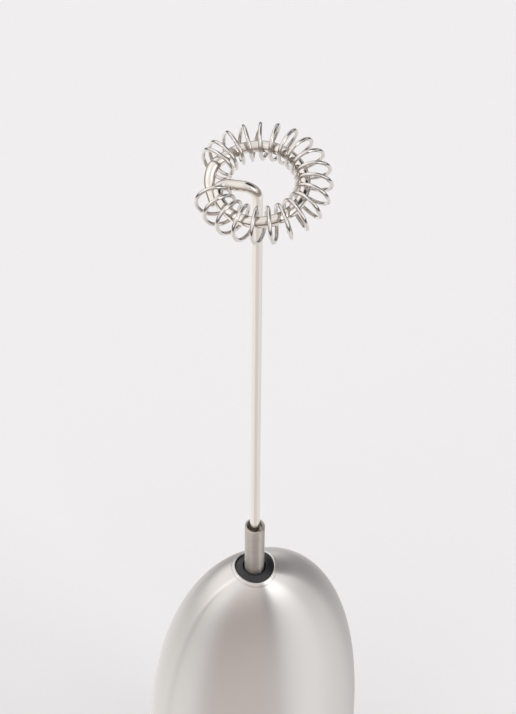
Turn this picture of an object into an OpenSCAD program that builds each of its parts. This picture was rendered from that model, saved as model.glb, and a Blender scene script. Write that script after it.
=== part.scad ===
// Battery milk frother: an oval steel handle with a domed nose, a thin wire mast and a ring whisk.
// Millimetres, +Z up. The origin is the middle of the foot, X runs along the wide side of the
// handle and the push button faces -Y.

/* [Handle] */
// Half of the handle's width, along X
half_w = 23.6; // [23.4:0.1:24.6]
// Half of the handle's depth, along Y
half_d = 15; // [14.9:0.1:15.6]
// Height of the dome's highest point
apex_z = 115; // [114.6:0.1:115.6]
// Height over which the sides curve in to the nose
dome_h = 64; // [62:1:66]
// Fullness of the dome: 2 is an ellipse, more is squarer
dome_power = 2.35; // [2.3:0.05:2.5]
// Thickness of the drawn steel shell
shell_t = 0.8; // [0.6:0.1:0.8]
// Diameter of the hole in the nose
nose_hole_d = 8; // [7.9:0.1:8.2]

/* [Whisk] */
// Diameter of the mast wire
wire_d = 2; // [1.8:0.1:2]
// Outer diameter of the steel coupling sleeve
sleeve_d = 4; // [3.8:0.1:4.2]
// Height of the sleeve's mouth
sleeve_top = 128.1; // [124:0.1:132]
// Height of the ring's plane where it crosses the mast's axis
ring_z = 225.4; // [200:0.2:240]
// Radius of the ring along the wire's centre
ring_r = 8; // [7.8:0.1:8.2]
// Tilt of the ring about its arm
ring_tilt = 8.5; // [0:0.5:12]
// Direction of the arm, counted from +X towards +Y
arm_heading = 148; // [0:1:359]
// Diameter of the spring wire
coil_wire_d = 0.7; // [0.5:0.05:0.8]
// Radius of one spring loop to the wire's centre
coil_r = 3.05; // [3.05:0.05:3.2]
// Number of spring loops
coil_loops = 21; // [16:1:22]

/* [Button] */
// Height of the push button's centre
button_z = 66.5; // [66:0.1:67]
// Diameter of the push button
button_d = 11; // [10.6:0.1:11.2]
// Travel of the push button
button_travel = 1.2; // [0.8:0.1:1.2]

/* [Power] */
// Distance of each cell's axis from the middle
cell_x = 7.9; // [7.8:0.05:8.1]
// Diameter of a cell
cell_d = 14.2; // [14:0.1:14.3]
// Length of a cell with its button
cell_len = 50.5; // [50:0.1:50.5]
// Depth that the base cover's skirt reaches into the shell
skirt_h = 8.5; // [6:0.5:8.5]

/* [Hidden] */
$fn = 64;
eps = 0.01;

// Shell and base
shell_low = 4.5;              // lower edge of the steel shell
fit_gap = 0.15;               // gap between the shell and what slides into it
inner_inset = shell_t + fit_gap;     // of what slides into the shell
cover_proud = 0.2;            // how far the base cover stands out past the shell
cover_low = 0.6;              // underside of the base cover
cover_floor = 2.6;            // top of its floor
skirt_t = 1.2;
pad_t = 1;
pad_inset = 3.6;

// Battery bay
bore_r = cell_d / 2 + 0.3;
bay_wall = 1.15;
bay_low = 13.5;
sheet_t = 0.4;                // contact metal
cell_left_low = 6.6;          // flat end of the left cell, on the bridge spring
bulkhead_low = cell_left_low + cell_len + sheet_t;
bulkhead_high = bulkhead_low + 2;
cell_right_low = 4;           // button end of the right cell, on the bridge's dimple
cell_right_high = cell_right_low + cell_len;
cell_nub_r = 2.75;
cell_nub_h = 1.3;

// Motor: a flat-sided can with a nylon end bell below
motor_r = 10;
motor_flat = 7.55;            // half of its thickness across the flats
motor_low = 74;
can_low = 79;
motor_high = 99;
can_t = 0.7;
boss_r = 3.05;
boss_h = 1.7;
shaft_r = 1;
shaft_low = 72.9;
shaft_high = 110;
bush_r = 2.2;
bush_gap = 0.02;              // running clearance of the shaft in its bushes
magnet_r = 9.2;
magnet_in_r = 6.3;
rotor_r = 5.9;
rotor_low = 83;
rotor_high = 92;
comm_r = 2.2;
comm_low = 76.6;
comm_high = 79.6;
terminal_x = 6.2;
terminal_y = 2.2;
terminal_w = 2.4;
terminal_low = 69.5;

// Chassis: two moulded halves that clamp the motor and hold the cells
cradle_t = 1.1;
cradle_gap = 0.1;
cradle_floor = 1.2;
nose_spigot_r = 4.5;
nose_spigot_bore = 3.3;
nose_spigot_high = 106;
rib_t = 1.4;
screws = [[18.2, 36], [18.2, 61.7], [14, 86.7]];   // x and z of each pair
screw_boss_r = 2.4;
screw_boss_len = 5.5;
screw_r = 1.1;
screw_head_r = 1.9;
screw_head_h = 1.4;
screw_seat_y = 3.6;
screw_tip_y = -4.6;

// Button and switch, along Y
bezel_face_y = -15.1;
bezel_back_y = -11.6;
bezel_r = 7.4;
bezel_tube_r = 6.7;
bezel_in_r = button_d / 2 + 0.2;
button_face_y = -15.15;
button_flange_y = bezel_back_y + 0.05;
button_flange_r = 6.3;
button_flange_t = 0.8;
stem_r = 1.45;
guide_y = -7.7;
guide_t = 1.2;
plate_y = -4.85;
strip_y = plate_y + sheet_t + button_travel + 0.05;
strip_x = 1.1;
strip_w = 2.8;
strip_high = 70;
tail_z = 62.5;

// Leads from the switch contact and from the cells to the motor terminals
lead_r = 0.6;
lead_switch_route = [[4.8, -3.8, 63.1], [6.2, -3.8, 63.1], [7.3, -3, 63.8], [8, -1, 65.4],
    [8.1, 1.2, 67.4], [7.7, 2.8, 69.4], [7.25, 3.4, 70.6], [7.25, 3.4, 72]];
lead_battery_route = [[7.9, 6.05, 61], [7.9, 6.05, 62.5], [7.6, 6.3, 64.2], [6, 6.5, 66], [3, 6.4, 67.2],
    [-1, 5.8, 67.8], [-4.6, 4, 68], [-7, 1.2, 68.4], [-7.7, -1.4, 69.2], [-7.3, -3.2, 70.6], [-7.25, -3.4, 72]];

// Nose: the rolled rim of the shell and the black collar just below it
rim_r = nose_hole_d / 2 + 0.75;
rim_proud = 0.15;
collar_low = nose_spigot_high;
collar_inset = 0.25;          // how far the collar's top lies below the dome's surface
collar_flange_r = 6;
collar_flange_t = 1.4;

// Whisk path, in the ring's own plane with x along the arm
mast_low = 112;
bend_r = 2.4;                 // mast to arm
ring_off = 0.9;               // how far the ring's centre lies beside the arm
hook_r = 1.7;                 // arm to ring
start_r = 7.2;                // tighter start of the ring, inside its own tail
start_end = 109;              // angle at which the start meets the true ring
start_c = (ring_r - start_r) * [cos(start_end), sin(start_end)];
hook_y = ring_off + hook_r;
hook_c = [start_c.x + sqrt(pow(start_r - hook_r, 2) - pow(hook_y - start_c.y, 2)), hook_y];
hook_end = atan2(hook_c.y - start_c.y, hook_c.x - start_c.x);
tail_end = 389;               // the ring runs on past its start, below it
tail_drop = 1.95;
drop_from = 338;              // angles between which the tail sinks
drop_to = 375;
swell = 0.7;                  // how far the ring widens before its tail, and where
swell_at = 350;
swell_half = 34;

// Whisk spring: a loose helix that hangs on the ring, a little off its centre
coil_from = 23.5;             // ring angles of the first and the last full loop
coil_to = 335.6;
coil_pitch = (coil_to - coil_from) / (coil_loops - 1.35);
coil_end_pitch = 8.5;         // the last loop is wound close
coil_close = coil_loops - 1.4;
coil_centre_r = ring_r + 0.85;
coil_shift = 0.72 * [cos(207), sin(207)];
coil_drop = 0.5;              // the first loops go round start and tail alike and hang lower
coil_drop_span = 60;
coil_sides = 6;
coil_hex_r = 0.55 * coil_wire_d;   // a hexagon this size holds as much steel as the round wire
coil_steps = 20;

// ---------------------------------------------------------------- helpers

// Share of the full half width that is left at height z, for a dome whose top is at top
function dome_share(z, top) =
    let (u = max(0, min(1, (z - top + dome_h) / dome_h)))
    pow(1 - pow(u, dome_power), 1 / dome_power);

// The handle's outer form, pulled in by inset and cut flat at low
module oval_dome(inset, low) {
    w = half_w - inset;
    top = apex_z - inset;
    steps = 24;
    curve = [for (i = [0:steps]) let (q = 90 * i / steps)
        [w * pow(cos(q), 2 / dome_power), top - dome_h + dome_h * pow(sin(q), 2 / dome_power)]];
    for (quarter = [0:3]) scale([1, (half_d - inset) / w, 1]) rotate([0, 0, 90 * quarter])
        rotate_extrude(angle = 90, $fn = 96) polygon(concat([[0, low], [w, low]], curve));
}

// A straight-sided oval plate that fits inside the handle at both of its faces
module oval_plate(low, high, inset) {
    share = dome_share(high, apex_z - inset);
    w = (half_w - inset) * share;
    translate([0, 0, low])
        scale([1, (half_d - inset) / (half_w - inset), 1]) cylinder(r = w, h = high - low, $fn = 96);
}

module tube(outer, inner, low, high) {
    translate([0, 0, low]) difference() {
        cylinder(r = outer, h = high - low);
        translate([0, 0, -eps]) cylinder(r = inner, h = high - low + 2 * eps);
    }
}

module box(low, high) { translate(low) cube(high - low); }

// A cylinder along Y
module y_rod(r, from, to, x = 0, z = 0) {
    translate([x, from, z]) rotate([-90, 0, 0]) cylinder(r = r, h = to - from);
}

module motor_outline(r, flat, low, high) {
    intersection() {
        translate([0, 0, low]) cylinder(r = r, h = high - low);
        box([-r - 1, -flat, low], [r + 1, flat, high]);
    }
}

function unit(v) = v / norm(v);

// Frames that follow a path without twisting: each side vector is the last one, made square again
function carried(points, sides, i) =
    i >= len(points) - 1 ? sides :
    let (t = unit(points[i + 1] - points[max(0, i - 1)]), last = sides[len(sides) - 1],
         side = unit(last - (last * t) * t))
    carried(points, concat(sides, [side]), i + 1);

// A closed tube of radius r along a list of points
module swept_wire(points, r, sides, side0) {
    n = len(points);
    firsts = carried(points, [side0], 1);
    last_t = unit(points[n - 1] - points[n - 2]);
    last_s = firsts[n - 2];
    all_sides = concat(firsts, [unit(last_s - (last_s * last_t) * last_t)]);
    rings = [for (i = [0:n - 1])
        let (t = unit(points[min(n - 1, i + 1)] - points[max(0, i - 1)]),
             s = unit(all_sides[i] - (all_sides[i] * t) * t), u = cross(t, s))
        for (k = [0:sides - 1]) points[i] + r * (cos(360 * k / sides) * s + sin(360 * k / sides) * u)];
    walls = [for (i = [0:n - 2], k = [0:sides - 1])
        let (a = i * sides + k, b = i * sides + (k + 1) % sides)
        each [[a, b + sides, b], [a, a + sides, b + sides]]];
    caps = [[for (k = [0:sides - 1]) k], [for (k = [sides - 1:-1:0]) (n - 1) * sides + k]];
    polyhedron(rings, concat(walls, caps));
}

// A coil spring about Z, from radius r0 at low to radius r1 at high
module coil_spring(r0, r1, low, high, turns, wire_r) {
    per_turn = 18;
    n = turns * per_turn;
    points = [for (i = [0:n]) let (a = 360 * i / per_turn, s = i / n, r = r0 + (r1 - r0) * s)
        [r * cos(a), r * sin(a), low + wire_r + (high - low - 2 * wire_r) * s]];
    swept_wire(points, wire_r, 6, [0, 0, 1]);
}

// ---------------------------------------------------------------- handle

module outer_shell() {
    color("silver") difference() {
        union() {
            oval_dome(0, shell_low);
            intersection() {
                oval_dome(-rim_proud, shell_low);
                translate([0, 0, apex_z - 4]) cylinder(r = rim_r, h = 10);
            }
        }
        oval_dome(shell_t, shell_low - 1);
        translate([0, 0, apex_z - 20]) cylinder(d = nose_hole_d, h = 30);
        y_rod(bezel_tube_r + 0.1, -half_d - 2, -half_d / 2, z = button_z);
    }
}

module nose_collar() {
    color("#202022") difference() {
        union() {
            intersection() {
                oval_dome(collar_inset, shell_low);
                translate([0, 0, collar_low]) cylinder(r = nose_hole_d / 2 - 0.08, h = 10);
            }
            translate([0, 0, collar_low]) cylinder(r = collar_flange_r, h = collar_flange_t);
        }
        translate([0, 0, collar_low - 1]) cylinder(r = sleeve_d / 2 + 0.3, h = 20);
    }
}

module button_bezel() {
    color("#252527") difference() {
        union() {
            y_rod(bezel_tube_r, bezel_face_y, bezel_back_y, z = button_z);
            difference() {
                y_rod(bezel_r, bezel_face_y, -13, z = button_z);
                oval_dome(0, shell_low);
            }
        }
        y_rod(bezel_in_r, -16, bezel_back_y + 1, z = button_z);
    }
}

module screw_places() {
    for (p = screws, side = [-1, 1]) translate([side * p.x, 0, p.y]) children();
}

// Both chassis halves in one, before the parting line cuts them
module chassis() {
    difference() {
        union() {
            for (side = [-1, 1]) translate([side * cell_x, 0, bay_low])
                cylinder(r = bore_r + bay_wall, h = bulkhead_low - bay_low + 1);
            oval_plate(bay_low, bay_low + rib_t, inner_inset);
            oval_plate(screws[0].y - rib_t / 2, screws[0].y + rib_t / 2, inner_inset);
            oval_plate(bulkhead_low, bulkhead_high, inner_inset);
            for (side = [-1, 1])
                box([side * 14.5 - 1, -8, bulkhead_high - 1], [side * 14.5 + 1, 8, motor_low]);
            box([-5, strip_y + sheet_t, bulkhead_high - 1], [5, strip_y + sheet_t + guide_t, motor_low - 0.5]);
            box([-7, guide_y, bulkhead_high - 1], [7, guide_y + guide_t, motor_low - 0.5]);
            oval_plate(motor_low - cradle_floor, motor_low, inner_inset);
            motor_outline(motor_r + cradle_gap + cradle_t, motor_flat + cradle_gap + cradle_t,
                motor_low - 0.5, motor_high + 0.5);
            oval_plate(screws[2].y - rib_t / 2, screws[2].y + rib_t / 2, inner_inset);
            oval_plate(motor_high, motor_high + rib_t, inner_inset);
            translate([0, 0, motor_high]) cylinder(r = nose_spigot_r, h = nose_spigot_high - motor_high);
            screw_places() y_rod(screw_boss_r, -screw_boss_len, screw_boss_len);
        }
        for (side = [-1, 1]) translate([side * cell_x, 0, bay_low - 1])
            cylinder(r = bore_r, h = bulkhead_low - bay_low + 1);
        motor_outline(motor_r + cradle_gap, motor_flat + cradle_gap, motor_low, motor_high);
        box([-7.6, -5.2, motor_low - 2], [7.6, 5.2, motor_low + 1]);
        translate([0, 0, motor_high - 1]) cylinder(r = nose_spigot_bore, h = 20);
        screw_places() {
            y_rod(screw_r, screw_tip_y, screw_seat_y + 1);
            y_rod(screw_r + 0.15, 0, screw_seat_y + 1);
            y_rod(screw_head_r + 0.15, screw_seat_y, screw_boss_len + 3);
        }
        // room for the bezel and the button's flange
        y_rod(bezel_tube_r + 0.15, -16, button_flange_y + button_flange_t + button_travel + 0.2, z = button_z);
        // slots for the two contact strips that rise through the bulkhead
        box([-strip_x - strip_w - 0.1, strip_y - 0.1, bulkhead_low - 1],
            [-strip_x + 0.1, strip_y + sheet_t, bulkhead_high + 0.5]);
        box([cell_x - 1.6, 4.9, bulkhead_low - 1], [cell_x + 1.6, 5.5, bulkhead_high + 1]);
        y_rod(stem_r + 0.12, guide_y - 1, guide_y + guide_t + 0.5, z = button_z);
    }
}

module chassis_front() {
    color("#3a3c40") intersection() {
        chassis();
        box([-30, -20, 0], [30, 0, 120]);
    }
}

module chassis_back() {
    color("#3a3c40") intersection() {
        chassis();
        box([-30, 0, 0], [30, 20, 120]);
    }
}

module chassis_screws() {
    color("gainsboro") screw_places() {
        y_rod(screw_r, screw_tip_y, screw_seat_y + 0.5);
        difference() {
            y_rod(screw_head_r, screw_seat_y, screw_seat_y + screw_head_h);
            for (turn = [0, 90]) rotate([0, turn, 0])
                box([-1.2, screw_seat_y + 0.7, -0.25], [1.2, screw_seat_y + 2, 0.25]);
        }
    }
}

// ---------------------------------------------------------------- motor

module motor_can() {
    color("lightgray") difference() {
        union() {
            motor_outline(motor_r, motor_flat, can_low, motor_high);
            translate([0, 0, motor_high - eps]) cylinder(r = boss_r, h = boss_h + eps);
        }
        motor_outline(motor_r - can_t, motor_flat - can_t, can_low - 1, motor_high - can_t);
        translate([0, 0, motor_high - 3]) cylinder(r = bush_r, h = 8);
    }
}

module motor_end_bell() {
    color("white") difference() {
        union() {
            motor_outline(motor_r, motor_flat, motor_low, can_low);
            translate([0, 0, motor_low - 0.8]) cylinder(r = boss_r, h = 2);
        }
        motor_outline(8.6, 6.4, motor_low + 1.5, can_low + 1);
        translate([0, 0, motor_low - 2]) cylinder(r = bush_r, h = 8);
        for (turn = [0, 180]) rotate([0, 0, turn])
            box([terminal_x, terminal_y, motor_low - 1],
                [terminal_x + sheet_t, terminal_y + terminal_w, motor_low + 2]);
    }
}

module motor_front_bearing() {
    color("#b08d57") tube(bush_r, shaft_r + bush_gap, motor_high - 1.4, motor_high + boss_h - 0.2);
}

module motor_rear_bearing() {
    color("#b08d57") tube(bush_r, shaft_r + bush_gap, motor_low - 0.7, motor_low + 1.9);
}

module motor_magnets() {
    span = 94;
    color("#4a4a4c") for (turn = [0, 180]) rotate([0, 0, turn - span / 2]) translate([0, 0, can_low + 1])
        rotate_extrude(angle = span) translate([magnet_in_r, 0]) square([magnet_r - magnet_in_r, 15]);
}

module motor_brushes() {
    color("#2b2b2b") for (turn = [0, 180]) rotate([0, 0, turn]) {
        box([-0.7, comm_r + 0.05, 77.2], [0.7, 4.25, 79]);
        box([-0.7, 4.25 - eps, 77.4], [terminal_x, 4.55, 78.8]);
    }
}

module motor_terminals() {
    color("goldenrod") for (turn = [0, 180]) rotate([0, 0, turn])
        box([terminal_x, terminal_y, terminal_low], [terminal_x + sheet_t, terminal_y + terminal_w, 78.8]);
}

module motor_shaft() {
    color("silver") translate([0, 0, shaft_low]) cylinder(r = shaft_r, h = shaft_high - shaft_low);
}

module rotor_core() {
    color("#707276") {
        tube(2.7, shaft_r, rotor_low, rotor_high);
        for (turn = [0, 120, 240]) rotate([0, 0, turn]) {
            box([2.4, -1.2, rotor_low], [5.2, 1.2, rotor_high]);
            rotate([0, 0, -46]) translate([0, 0, rotor_low])
                rotate_extrude(angle = 92) translate([rotor_r - 0.9, 0]) square([0.9, rotor_high - rotor_low]);
        }
    }
}

module rotor_windings() {
    color("#b5652a") for (turn = [0, 120, 240]) rotate([0, 0, turn]) difference() {
        box([2.9, -2.5, rotor_low - 1.1], [4.2, 2.5, rotor_high + 1.1]);
        box([2, -1.2, rotor_low], [6, 1.2, rotor_high]);
    }
}

module commutator() {
    color("#c07a3e") difference() {
        tube(comm_r, shaft_r, comm_low, comm_high);
        for (turn = [60, 180, 300]) rotate([0, 0, turn])
            box([1.6, -0.15, comm_low - 1], [3, 0.15, comm_high + 1]);
    }
}

// ---------------------------------------------------------------- whisk

module coupling_sleeve() {
    low = motor_high + boss_h + 0.5;
    color("silver") difference() {
        translate([0, 0, low]) cylinder(d = sleeve_d, h = sleeve_top - low);
        translate([0, 0, low - 1]) cylinder(r = shaft_r, h = sleeve_top);
        translate([0, 0, sleeve_top - 1.4]) cylinder(r = wire_d / 2 + 0.55, h = 2);
    }
}

// A point given in the ring's own plane, x along the arm and the ring's centre at 0, as a point
// of the whole model
function in_ring(p) =
    let (off = p.y - ring_off,
         y = off * cos(ring_tilt) + p.z * sin(ring_tilt), z = p.z * cos(ring_tilt) - off * sin(ring_tilt))
    [p.x * cos(arm_heading) - y * sin(arm_heading), p.x * sin(arm_heading) + y * cos(arm_heading), ring_z + z];

function eased(t) = let (s = min(1, max(0, t))) s * s * (3 - 2 * s);

// Points along an arc in the ring's plane, without its first one
function ring_arc(centre, bend, from, to) =
    let (steps = ceil(abs(to - from) * bend / 80) + 6)
    [for (i = [1:steps]) let (a = from + (to - from) * i / steps)
        in_ring([centre.x + bend * cos(a), centre.y + bend * sin(a), 0])];

function ring_radius(a) = ring_r
    + (abs(a - swell_at) < swell_half ? swell * pow(cos(90 * (a - swell_at) / swell_half), 2) : 0);

// The mast, its bend into the arm, the hook into the ring, and the ring that ends under its start
whisk_path = concat(
    [[0, 0, mast_low]],
    [for (a = [0:10:90]) let (out = bend_r * (1 - cos(a)))
        [out * cos(arm_heading), out * sin(arm_heading), ring_z - bend_r + bend_r * sin(a)]],
    [in_ring([hook_c.x, ring_off, 0])],
    ring_arc(hook_c, hook_r, -90, hook_end),
    ring_arc(start_c, start_r, hook_end, start_end),
    [for (a = [start_end + 7:7:tail_end]) let (r = ring_radius(a))
        in_ring([r * cos(a), r * sin(a), -tail_drop * eased((a - drop_from) / (drop_to - drop_from))])]);

module whisk_wire() {
    color("silver") swept_wire(whisk_path, wire_d / 2, 12, [cos(arm_heading), sin(arm_heading), 0]);
}

// One point of the spring, t loops from its start. The upper half of each loop runs straight
// across the ring and the lower half carries it on to the next loop.
function coil_angle(t) = coil_from + coil_pitch * min(t, coil_close) + coil_end_pitch * max(0, t - coil_close);
function coil_point(t) =
    let (turn = 180 - 360 * t, a = coil_angle(t) - coil_pitch / 4 * cos(turn),
         out = coil_centre_r + coil_r * cos(turn),
         low = coil_drop * eased(1 - (coil_angle(t) - coil_from) / coil_drop_span))
    in_ring([out * cos(a) + coil_shift.x, out * sin(a) + coil_shift.y, coil_r * sin(turn) - low]);

module whisk_spring() {
    color("gainsboro")
        swept_wire([for (i = [0:coil_loops * coil_steps]) coil_point(i / coil_steps)],
            coil_hex_r, coil_sides, [0, 0, 1]);
}

// ---------------------------------------------------------------- button and switch

module push_button() {
    color("#1f1f21") difference() {
        union() {
            y_rod(button_d / 2, button_face_y, button_flange_y + eps, z = button_z);
            y_rod(button_flange_r, button_flange_y, button_flange_y + button_flange_t, z = button_z);
            y_rod(stem_r, button_flange_y, plate_y, z = button_z);
            y_rod(0.75, plate_y - 1, plate_y + sheet_t + 0.25, z = button_z);
        }
        translate([0, button_face_y - 30 + 0.7, button_z]) sphere(r = 30, $fn = 96);
    }
}

module button_spring() {
    color("silver") translate([0, 0, button_z]) rotate([-90, 0, 0])
        coil_spring(3, 3, button_flange_y + button_flange_t, guide_y, 3, 0.2);
}

module shorting_plate() {
    color("#c9a15a") difference() {
        box([-4, plate_y, button_z - 2], [4, plate_y + sheet_t, button_z + 2]);
        y_rod(0.75, plate_y - 1, plate_y + 2, z = button_z);
    }
}

module switch_contact() {
    color("#c9a15a") {
        box([strip_x, strip_y, tail_z], [strip_x + strip_w, strip_y + sheet_t, strip_high]);
        box([strip_x, strip_y, tail_z], [strip_x + strip_w + 1.8, strip_y + sheet_t, tail_z + 1.2]);
    }
}

// ---------------------------------------------------------------- power

module positive_contact() {
    color("#c9a15a") {
        box([-cell_x - 4.5, -4.5, bulkhead_low - sheet_t], [-cell_x + 4.5, 4.5, bulkhead_low]);
        box([-cell_x + 4, strip_y + sheet_t - eps, bulkhead_low - sheet_t], [-strip_x, 2.5, bulkhead_low]);
        box([-strip_x - strip_w, strip_y, bulkhead_low - sheet_t], [-strip_x, strip_y + sheet_t, strip_high]);
    }
}

module negative_contact() {
    color("#c9a15a") {
        box([cell_x - 4.8, -4.5, bulkhead_low - sheet_t], [cell_x + 4.8, 5.4, bulkhead_low]);
        box([cell_x - 1.5, 5, bulkhead_low - sheet_t], [cell_x + 1.5, 5.4, tail_z + 1]);
    }
}

module negative_spring() {
    color("silver") translate([cell_x, 0, 0])
        coil_spring(2.6, 4.4, cell_right_high, bulkhead_low - sheet_t, 3, 0.3);
}

module cell(nub_up) {
    can_len = cell_len - cell_nub_h;
    color("#5d6b78") {
        translate([0, 0, nub_up ? 0 : cell_nub_h]) cylinder(d = cell_d, h = can_len);
        translate([0, 0, nub_up ? can_len - 1 : 0]) cylinder(r = cell_nub_r, h = cell_nub_h + 1);
    }
}

module cell_left() { translate([-cell_x, 0, cell_left_low]) cell(true); }

module cell_right() { translate([cell_x, 0, cell_right_low]) cell(false); }

module lead_switch() { color("firebrick") swept_wire(lead_switch_route, lead_r, 8, [0, 0, 1]); }

module lead_battery() { color("#303030") swept_wire(lead_battery_route, lead_r, 8, [1, 0, 0]); }

// ---------------------------------------------------------------- base

module base_cover() {
    color("#2c2c2e") difference() {
        union() {
            oval_plate(cover_low, shell_low, -cover_proud);
            oval_plate(shell_low - 1, shell_low + skirt_h, inner_inset);
        }
        oval_plate(cover_floor, shell_low + skirt_h + 1, inner_inset + skirt_t);
        oval_plate(cover_low - 1, pad_t, pad_inset - 0.1);
    }
}

module foot_pad() {
    color("#55575a") intersection() {
        oval_plate(-1, pad_t + 1, pad_inset);
        box([-half_w, -half_d, 0], [half_w, half_d, pad_t]);
    }
}

module bridge_contact() {
    top = cover_floor + sheet_t;
    color("#c9a15a") {
        box([-cell_x - 5, -4.5, cover_floor], [cell_x + 5, 4.5, top]);
        translate([cell_x, 0, top - 0.2]) cylinder(r1 = 3.2, r2 = 2.2, h = cell_right_low - top + 0.2);
    }
}

module bridge_spring() {
    color("silver") translate([-cell_x, 0, 0])
        coil_spring(4.4, 2.6, cover_floor + sheet_t, cell_left_low, 3, 0.35);
}

outer_shell();
nose_collar();
button_bezel();
chassis_front();
chassis_back();
chassis_screws();
motor_can();
motor_end_bell();
motor_front_bearing();
motor_rear_bearing();
motor_magnets();
motor_brushes();
motor_terminals();
motor_shaft();
rotor_core();
rotor_windings();
commutator();
coupling_sleeve();
whisk_wire();
whisk_spring();
push_button();
button_spring();
shorting_plate();
switch_contact();
positive_contact();
negative_contact();
negative_spring();
cell_left();
cell_right();
lead_switch();
lead_battery();
base_cover();
foot_pad();
bridge_contact();
bridge_spring();
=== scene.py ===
"""Looks of the battery milk frother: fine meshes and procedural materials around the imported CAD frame.

Lengths are in millimetres until add_piece() turns them into metres. The frame is the part's own:
+Z up along the mast, X along the wide side of the handle, the push button on the -Y side.
"""

import math

import bpy
import numpy as np
from mathutils import Matrix, Vector


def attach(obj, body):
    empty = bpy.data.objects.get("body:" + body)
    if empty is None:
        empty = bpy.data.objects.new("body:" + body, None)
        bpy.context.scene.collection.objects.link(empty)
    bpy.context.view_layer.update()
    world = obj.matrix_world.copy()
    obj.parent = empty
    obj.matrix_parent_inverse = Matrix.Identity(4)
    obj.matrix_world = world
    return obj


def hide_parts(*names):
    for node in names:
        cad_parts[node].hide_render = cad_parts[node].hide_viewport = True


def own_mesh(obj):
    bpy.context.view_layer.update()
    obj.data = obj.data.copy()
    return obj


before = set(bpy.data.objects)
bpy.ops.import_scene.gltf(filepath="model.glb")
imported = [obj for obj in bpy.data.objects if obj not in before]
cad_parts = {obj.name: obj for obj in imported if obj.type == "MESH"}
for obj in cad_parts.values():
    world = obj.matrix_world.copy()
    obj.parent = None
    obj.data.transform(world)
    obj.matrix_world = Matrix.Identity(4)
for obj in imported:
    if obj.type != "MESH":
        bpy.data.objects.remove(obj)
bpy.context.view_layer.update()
MM = 0.001

# ------------------------------------------------------------ sizes, the same as in the part's source

HALF_W, HALF_D = 23.6, 15.0
APEX_Z, DOME_H, DOME_POWER = 115.0, 64.0, 2.35
SHELL_T, SHELL_LOW, HOLE_R = 0.8, 4.5, 4.0
INNER_INSET = 0.95
COVER_PROUD, COVER_LOW, COVER_FLOOR, SKIRT_TOP, SKIRT_T = 0.2, 0.6, 2.6, 13.0, 1.2
PAD_T, PAD_RECESS, PAD_INSET = 1.0, 3.5, 3.6

WIRE_R, SLEEVE_R, SLEEVE_LOW, SLEEVE_TOP = 1.0, 2.0, 101.2, 128.1
SLEEVE_MOUTH_R, SLEEVE_MOUTH_DEPTH = 1.55, 1.4
MAST_LOW, RING_Z, RING_R, RING_TILT, ARM_HEADING = 112.0, 225.4, 8.0, 8.5, 148.0
RING_OFF, BEND_R, HOOK_R = 0.9, 2.4, 1.7
START_R, START_END, TAIL_END = 7.2, 109.0, 389.0
TAIL_DROP, DROP_FROM, DROP_TO = 1.95, 338.0, 375.0
SWELL, SWELL_AT, SWELL_HALF = 0.7, 350.0, 34.0
COIL_WIRE_R, COIL_R, COIL_LOOPS = 0.35, 3.05, 21
COIL_FROM, COIL_TO, COIL_END_PITCH, COIL_CENTRE_R = 23.5, 335.6, 8.5, 8.85
COIL_SHIFT, COIL_SHIFT_HEADING = 0.72, 207.0
COIL_DROP, COIL_DROP_SPAN = 0.5, 60.0

BUTTON_Z, BUTTON_R, BUTTON_TRAVEL = 66.5, 5.5, 1.2
BEZEL_FACE, BEZEL_BACK, BEZEL_R, BEZEL_TUBE_R, BEZEL_IN_R = -15.1, -11.6, 7.4, 6.7, 5.7
BUTTON_FACE, BUTTON_DISH_R, BUTTON_DISH = -15.15, 30.0, 0.7
FLANGE_FRONT, FLANGE_T, FLANGE_R = -11.55, 0.8, 6.3
STEM_R, STEM_END, STEM_TIP_R, STEM_TIP, GUIDE_Y = 1.45, -4.85, 0.75, 0.65, -7.7

CELL_X, CELL_R, CELL_LEN, CELL_NUB_R, CELL_NUB_H = 7.9, 7.1, 50.5, 2.75, 1.3
CELL_LEFT_LOW, CELL_RIGHT_LOW, SHEET_T = 6.6, 4.0, 0.4
SPRING_WIDE, SPRING_NARROW, SPRING_TURNS = 4.4, 2.6, 3
CELL_SPRING_WIRE, BASE_SPRING_WIRE, BUTTON_SPRING_WIRE, BUTTON_SPRING_R = 0.3, 0.35, 0.2, 3.0
COLLAR_LOW, COLLAR_INSET, COLLAR_HOLE_R = 106.0, 0.25, 2.3
COLLAR_FLANGE_R, COLLAR_FLANGE_T, COLLAR_SIDE_GAP = 6.0, 1.4, 0.08
SHAFT_R, SHAFT_LOW, SHAFT_HIGH, LEAD_R = 1.0, 72.9, 110.0, 0.6

# ------------------------------------------------------------ node helpers


def node(tree, kind, props=None, **inputs):
    """A shader node. An input is a value or a socket; its name has _ for a space, or _0, _1 for its place."""
    made = tree.nodes.new(kind)
    for key, value in (props or {}).items():
        setattr(made, key, value)
    for key, value in inputs.items():
        place = int(key[1:]) if key[0] == "_" else key.replace("_", " ")
        socket = made.inputs[place]
        if isinstance(value, bpy.types.NodeSocket):
            tree.links.new(value, socket)
        else:
            socket.default_value = value
    return made


def maths(tree, operation, a, b=0.0, c=0.0):
    return node(tree, "ShaderNodeMath", {"operation": operation}, _0=a, _1=b, _2=c).outputs[0]


def dot(tree, vector, direction):
    props = {"operation": "DOT_PRODUCT"}
    return node(tree, "ShaderNodeVectorMath", props, _0=vector, _1=direction).outputs["Value"]


def scaled(tree, vector, factors):
    return node(tree, "ShaderNodeVectorMath", {"operation": "MULTIPLY"}, _0=vector, _1=factors).outputs[0]


def smooth_span(tree, value, low, high, out_low=0.0, out_high=1.0):
    props = {"interpolation_type": "SMOOTHSTEP"}
    made = node(tree, "ShaderNodeMapRange", props, Value=value)
    for key, number in (("From Min", low), ("From Max", high), ("To Min", out_low), ("To Max", out_high)):
        made.inputs[key].default_value = number
    return made.outputs["Result"]


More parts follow.
